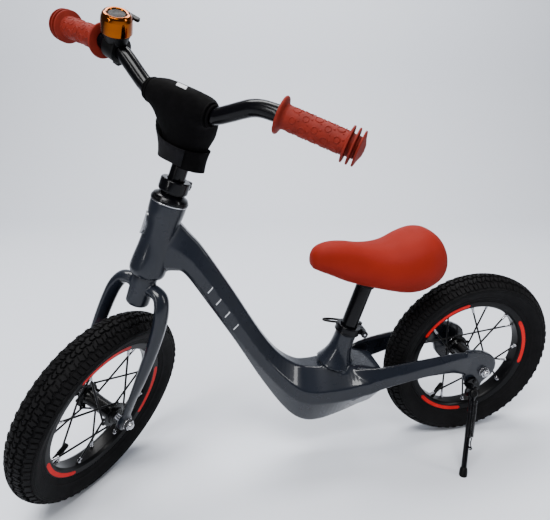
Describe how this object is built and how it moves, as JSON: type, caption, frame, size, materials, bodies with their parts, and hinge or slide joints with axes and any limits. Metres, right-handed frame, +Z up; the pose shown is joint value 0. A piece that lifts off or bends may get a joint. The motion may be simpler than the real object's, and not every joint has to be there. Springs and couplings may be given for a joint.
{
  "type": "balance bike",
  "caption": "Child's balance bike parked on a side kickstand: slate cast frame with a low belly, steered fork, spoked wheels with fat tyres, padded handlebar, rubber grips, bell and red saddle.",
  "frame": {"origin": "centre of the footprint's bounding box on the floor, the bike standing parked on its two tyres and its kickstand", "axes": "+X forward from the rear wheel to the front wheel, +Y to the rider's left (the kickstand side), +Z up"},
  "size_m": [0.8639, 0.3403, 0.6767],
  "materials": {
    "frame_paint": "gloss slate grey paint over a light alloy casting",
    "badge": "polished",
    "bearing_steel": "ground",
    "black_metal": "gloss black",
    "black_alloy": "satin black anodised",
    "zinc_steel": "bright zinc plate",
    "black_plastic": "moulded, lightly grained",
    "saddle_red": "smooth red-orange skin over foam",
    "pad_fabric": "black neoprene with piped hems",
    "grip_rubber": "matt terracotta rubber with raised rings",
    "bell_gold": "orange-gold anodised",
    "tyre_rubber": "matt black tread",
    "tube_rubber": "matt",
    "spoke_steel": "black"
  },
  "bodies": {
    "frame": {"frame": "frame_paint", "head_badge": "badge", "upper_headset_bearing": "bearing_steel", "lower_headset_bearing": "bearing_steel", "seat_clamp_collar": "black_metal", "seat_clamp_rod": "black_metal", "seat_clamp_nut": "black_metal", "kickstand_bracket": "black_metal", "kickstand_pivot_bolt": "zinc_steel", "rear_axle": "zinc_steel", "rear_axle_nut_left": "zinc_steel", "rear_axle_nut_right": "zinc_steel", "rear_axle_washer_left": "zinc_steel", "rear_axle_washer_right": "zinc_steel"},
    "seat_clamp_lever": {"seat_clamp_lever": "black_metal"},
    "seat": {"seat_post": "black_metal", "saddle_cover": "saddle_red", "saddle_base": "black_plastic"},
    "kickstand": {"kickstand_leg": "black_metal", "kickstand_spring": "black_metal", "kickstand_foot": "black_plastic"},
    "steering": {"fork": "frame_paint", "headset_top_cap": "black_metal", "steerer_clamp_collar": "black_metal", "steerer_clamp_bolt": "zinc_steel", "front_axle": "zinc_steel", "front_axle_nut_left": "zinc_steel", "front_axle_nut_right": "zinc_steel", "front_axle_washer_left": "zinc_steel", "front_axle_washer_right": "zinc_steel"},
    "handlebar": {"handlebar_stem": "black_alloy", "handlebar": "black_metal", "handlebar_pad": "pad_fabric", "handlebar_pad_strap": "pad_fabric", "left_grip": "grip_rubber", "right_grip": "grip_rubber", "left_end_plug": "grip_rubber", "right_end_plug": "grip_rubber", "bell_base": "black_plastic", "bell_dome": "bell_gold", "bell_screw": "black_plastic"},
    "bell_striker": {"bell_striker": "black_plastic"},
    "front_wheel": {"front_tyre": "tyre_rubber", "front_inner_tube": "tube_rubber", "front_valve_cap": "black_plastic", "front_rim": "black_alloy", "front_hub": "black_alloy", "front_spokes_left": "spoke_steel", "front_spokes_right": "spoke_steel", "front_bearing_left": "bearing_steel", "front_bearing_right": "bearing_steel"},
    "rear_wheel": {"rear_tyre": "tyre_rubber", "rear_inner_tube": "tube_rubber", "rear_valve_cap": "black_plastic", "rear_rim": "black_alloy", "rear_hub": "black_alloy", "rear_spokes_left": "spoke_steel", "rear_spokes_right": "spoke_steel", "rear_bearing_left": "bearing_steel", "rear_bearing_right": "bearing_steel"}
  },
  "joints": [
    {"name": "steering_turn", "type": "hinge", "parent": "frame", "child": "steering", "pos_m": [0.31301, -0.0534, 0.14201], "axis": [-0.3348, 0.1146, 0.9353], "range_deg": [-129, 31]},
    {"name": "handlebar_height", "type": "slide", "parent": "steering", "child": "handlebar", "axis": [-0.3348, 0.1146, 0.9353], "range_m": [-0.02, 0.04]},
    {"name": "bell_striker_swing", "type": "hinge", "parent": "handlebar", "child": "bell_striker", "pos_m": [0.24582, -0.03457, 0.6513], "axis": [-0.1014, 0.5505, 0.8287], "range_deg": [0, 25], "stiffness_Nm_per_rad": 0.02, "springref_deg": -8.59},
    {"name": "front_wheel_spin", "type": "hinge", "parent": "steering", "child": "front_wheel", "pos_m": [0.31868, -0.04625, 0.14316], "axis": [-0.7133, 0.6178, -0.331], "continuous": true},
    {"name": "rear_wheel_spin", "type": "hinge", "parent": "frame", "child": "rear_wheel", "pos_m": [-0.28141, -0.05302, 0.1491], "axis": [-0.0008, 0.9925, -0.1219], "continuous": true},
    {"name": "seat_height", "type": "slide", "parent": "frame", "child": "seat", "axis": [-0.2777, 0.1169, 0.9535], "range_m": [-0.02, 0.05]},
    {"name": "seat_clamp_lever_swing", "type": "hinge", "parent": "frame", "child": "seat_clamp_lever", "pos_m": [-0.08128, -0.0597, 0.22053], "axis": [0.2777, -0.1169, -0.9535], "range_deg": [0, 100]},
    {"name": "kickstand_fold", "type": "hinge", "parent": "frame", "child": "kickstand", "pos_m": [-0.25061, 0.01886, 0.11891], "axis": [0.0693, 0.939, 0.3369], "range_deg": [0, 90]}
  ]
}
